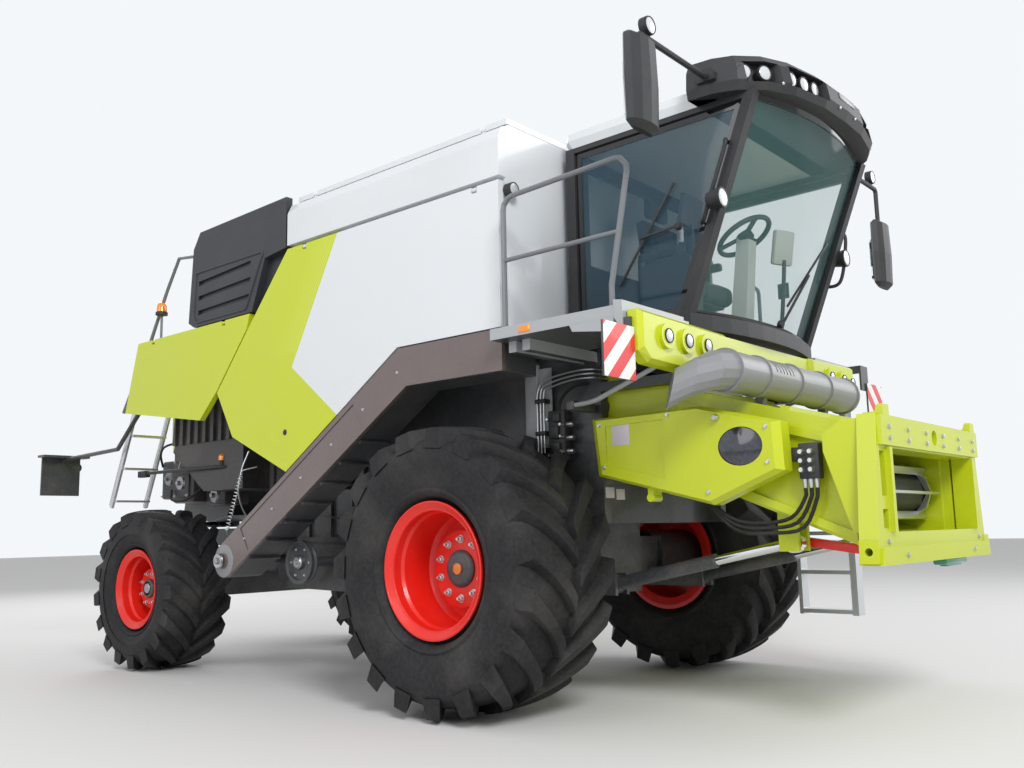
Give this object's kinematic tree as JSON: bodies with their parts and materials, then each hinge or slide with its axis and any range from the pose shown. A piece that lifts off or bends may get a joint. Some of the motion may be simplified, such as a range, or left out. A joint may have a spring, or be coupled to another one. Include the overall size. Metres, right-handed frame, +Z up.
{
  "type": "combine harvester",
  "caption": "Self-propelled combine harvester without header: cab, grain tank, threshing body, liftable feeder house and steered rear axle.",
  "frame": {"origin": "on the ground under the middle of the machine's overall box", "axes": "+X forward, +Y to the left, +Z up"},
  "size_m": [8.47, 3.78, 4.04],
  "materials": {
    "paint_white": "gloss",
    "paint_green": "gloss",
    "paint_dark": "satin",
    "paint_red": "gloss",
    "cover_grey": "gloss",
    "plastic_dark": "matte",
    "seat_cloth": "matte",
    "steel": "satin",
    "chrome": "polished",
    "lamp_glass": "gloss",
    "tyre": "matte",
    "glass": "gloss"
  },
  "bodies": {
    "chassis": {"frame_rails": "paint_dark", "front_axle": "paint_dark", "rear_axle": "paint_dark", "body_core": "paint_dark", "engine": "steel", "grain_tank": "paint_white", "engine_covers": "plastic_dark", "rear_hood": "paint_dark", "chopper": "paint_dark", "elevator": "paint_dark", "elevator_cover": "cover_grey", "drive_pulleys": "steel", "platforms": "paint_dark", "railings": "steel", "cab_frame": "paint_dark", "cab_roof": "paint_white", "cab_visor": "plastic_dark", "cab_glass": "glass", "seat": "seat_cloth", "console": "plastic_dark", "mirrors": "plastic_dark", "lamps": "lamp_glass", "lamp_panel": "paint_green", "rear_ladder": "steel", "marker_boards": "paint_dark", "tow_hitch": "steel"},
    "front_wheel_right": {"tyre_front_right": "tyre", "rim_front_right": "paint_red"},
    "front_wheel_left": {"tyre_front_left": "tyre", "rim_front_left": "paint_red"},
    "rear_wheel_right": {"tyre_rear_right": "tyre", "rim_rear_right": "paint_red"},
    "rear_wheel_left": {"tyre_rear_left": "tyre", "rim_rear_left": "paint_red"},
    "steer_knuckle_right": {"knuckle_right": "paint_dark"},
    "steer_knuckle_left": {"knuckle_left": "paint_dark"},
    "feeder": {"feeder_house": "paint_green", "feeder_guards": "paint_green", "dust_tube": "plastic_dark", "feed_chain": "steel"},
    "header_adapter": {"adapter": "paint_green"},
    "lift_cylinder_right": {"lift_barrel_right": "paint_dark"},
    "lift_piston_right": {"lift_rod_right": "chrome"},
    "lift_cylinder_left": {"lift_barrel_left": "paint_dark"},
    "lift_piston_left": {"lift_rod_left": "chrome"},
    "door": {"cab_door": "paint_dark", "door_glass": "glass"},
    "lid_right": {"tank_lid_right": "paint_white"},
    "lid_left": {"tank_lid_left": "paint_white"},
    "panel_right": {"side_panel_right": "paint_green"},
    "panel_left": {"side_panel_left": "paint_green"},
    "rear_door_right": {"rear_panel_right": "paint_green"},
    "rear_door_left": {"rear_panel_left": "paint_green"},
    "auger": {"unloading_auger": "paint_white"},
    "ladder": {"access_ladder": "steel"}
  },
  "joints": [
    {"name": "front_wheel_right_spin", "type": "hinge", "parent": "chassis", "child": "front_wheel_right", "pos_m": [1.695, -1.358, 0.912], "axis": [0, 1, 0], "continuous": true},
    {"name": "front_wheel_left_spin", "type": "hinge", "parent": "chassis", "child": "front_wheel_left", "pos_m": [1.695, 1.358, 0.912], "axis": [0, 1, 0], "continuous": true},
    {"name": "steer_right", "type": "hinge", "parent": "chassis", "child": "steer_knuckle_right", "pos_m": [-2.155, -1, 0.7], "axis": [0, 0, 1], "range_deg": [-35, 35]},
    {"name": "rear_wheel_right_spin", "type": "hinge", "parent": "steer_knuckle_right", "child": "rear_wheel_right", "pos_m": [-2.155, -1.33, 0.7], "axis": [0, 1, 0], "continuous": true},
    {"name": "steer_left", "type": "hinge", "parent": "chassis", "child": "steer_knuckle_left", "pos_m": [-2.155, 1, 0.7], "axis": [0, 0, 1], "range_deg": [-35, 35]},
    {"name": "rear_wheel_left_spin", "type": "hinge", "parent": "steer_knuckle_left", "child": "rear_wheel_left", "pos_m": [-2.155, 1.33, 0.7], "axis": [0, 1, 0], "continuous": true},
    {"name": "feeder_lift", "type": "hinge", "parent": "chassis", "child": "feeder", "pos_m": [2.345, 0, 1.95], "axis": [0, 1, 0], "range_deg": [0, 22]},
    {"name": "adapter_tilt", "type": "hinge", "parent": "feeder", "child": "header_adapter", "pos_m": [4.235, 0, 1.64], "axis": [1, 0, 0], "range_deg": [-4, 4]},
    {"name": "lift_swing_right", "type": "hinge", "parent": "chassis", "child": "lift_cylinder_right", "pos_m": [2.295, -0.56, 0.78], "axis": [0, 1, 0], "range_deg": [-1, 20.61]},
    {"name": "lift_stroke_right", "type": "slide", "parent": "lift_cylinder_right", "child": "lift_piston_right", "axis": [0.9792, 0, 0.2027], "range_m": [-0.4498, 0.005]},
    {"name": "lift_swing_left", "type": "hinge", "parent": "chassis", "child": "lift_cylinder_left", "pos_m": [2.295, 0.56, 0.78], "axis": [0, 1, 0], "range_deg": [-1, 20.61]},
    {"name": "lift_stroke_left", "type": "slide", "parent": "lift_cylinder_left", "child": "lift_piston_left", "axis": [0.9792, 0, 0.2027], "range_m": [-0.4498, 0.005]},
    {"name": "door_swing", "type": "hinge", "parent": "chassis", "child": "door", "pos_m": [2.303, 0.862, 3], "axis": [0, 0, 1], "range_deg": [0, 80]},
    {"name": "lid_right_open", "type": "hinge", "parent": "chassis", "child": "lid_right", "pos_m": [1.695, -1.38, 3.82], "axis": [1, 0, 0], "range_deg": [0, 100]},
    {"name": "lid_left_open", "type": "hinge", "parent": "chassis", "child": "lid_left", "pos_m": [1.695, 1.2, 3.82], "axis": [-1, 0, 0], "range_deg": [0, 100]},
    {"name": "panel_right_open", "type": "hinge", "parent": "chassis", "child": "panel_right", "pos_m": [1.695, -1.486, 3.374], "axis": [-1, 0, 0], "range_deg": [0, 60]},
    {"name": "panel_left_open", "type": "hinge", "parent": "chassis", "child": "panel_left", "pos_m": [1.695, 1.486, 2.914], "axis": [1, 0, 0], "range_deg": [0, 60]},
    {"name": "rear_door_right_open", "type": "hinge", "parent": "chassis", "child": "rear_door_right", "pos_m": [-1.805, -1.486, 2.934], "axis": [-1, 0, 0], "range_deg": [0, 60]},
    {"name": "rear_door_left_open", "type": "hinge", "parent": "chassis", "child": "rear_door_left", "pos_m": [-1.805, 1.486, 2.934], "axis": [1, 0, 0], "range_deg": [0, 60]},
    {"name": "auger_swing", "type": "hinge", "parent": "chassis", "child": "auger", "pos_m": [1.755, 1.49, 3], "axis": [0, 0, -1], "range_deg": [0, 100]},
    {"name": "ladder_swing", "type": "hinge", "parent": "chassis", "child": "ladder", "pos_m": [3.105, 1.5, 2.1], "axis": [0, 0, -1], "range_deg": [0, 90]}
  ],
  "couplings": [
    {"joint": "steer_left", "follows": "steer_right", "ratio": 1},
    {"joint": "lift_swing_right", "follows": "feeder_lift", "ratio": 0.89116},
    {"joint": "lift_stroke_right", "follows": "feeder_lift", "m_per_rad": -1.1583},
    {"joint": "lift_swing_left", "follows": "feeder_lift", "ratio": 0.89116},
    {"joint": "lift_stroke_left", "follows": "feeder_lift", "m_per_rad": -1.1583}
  ]
}
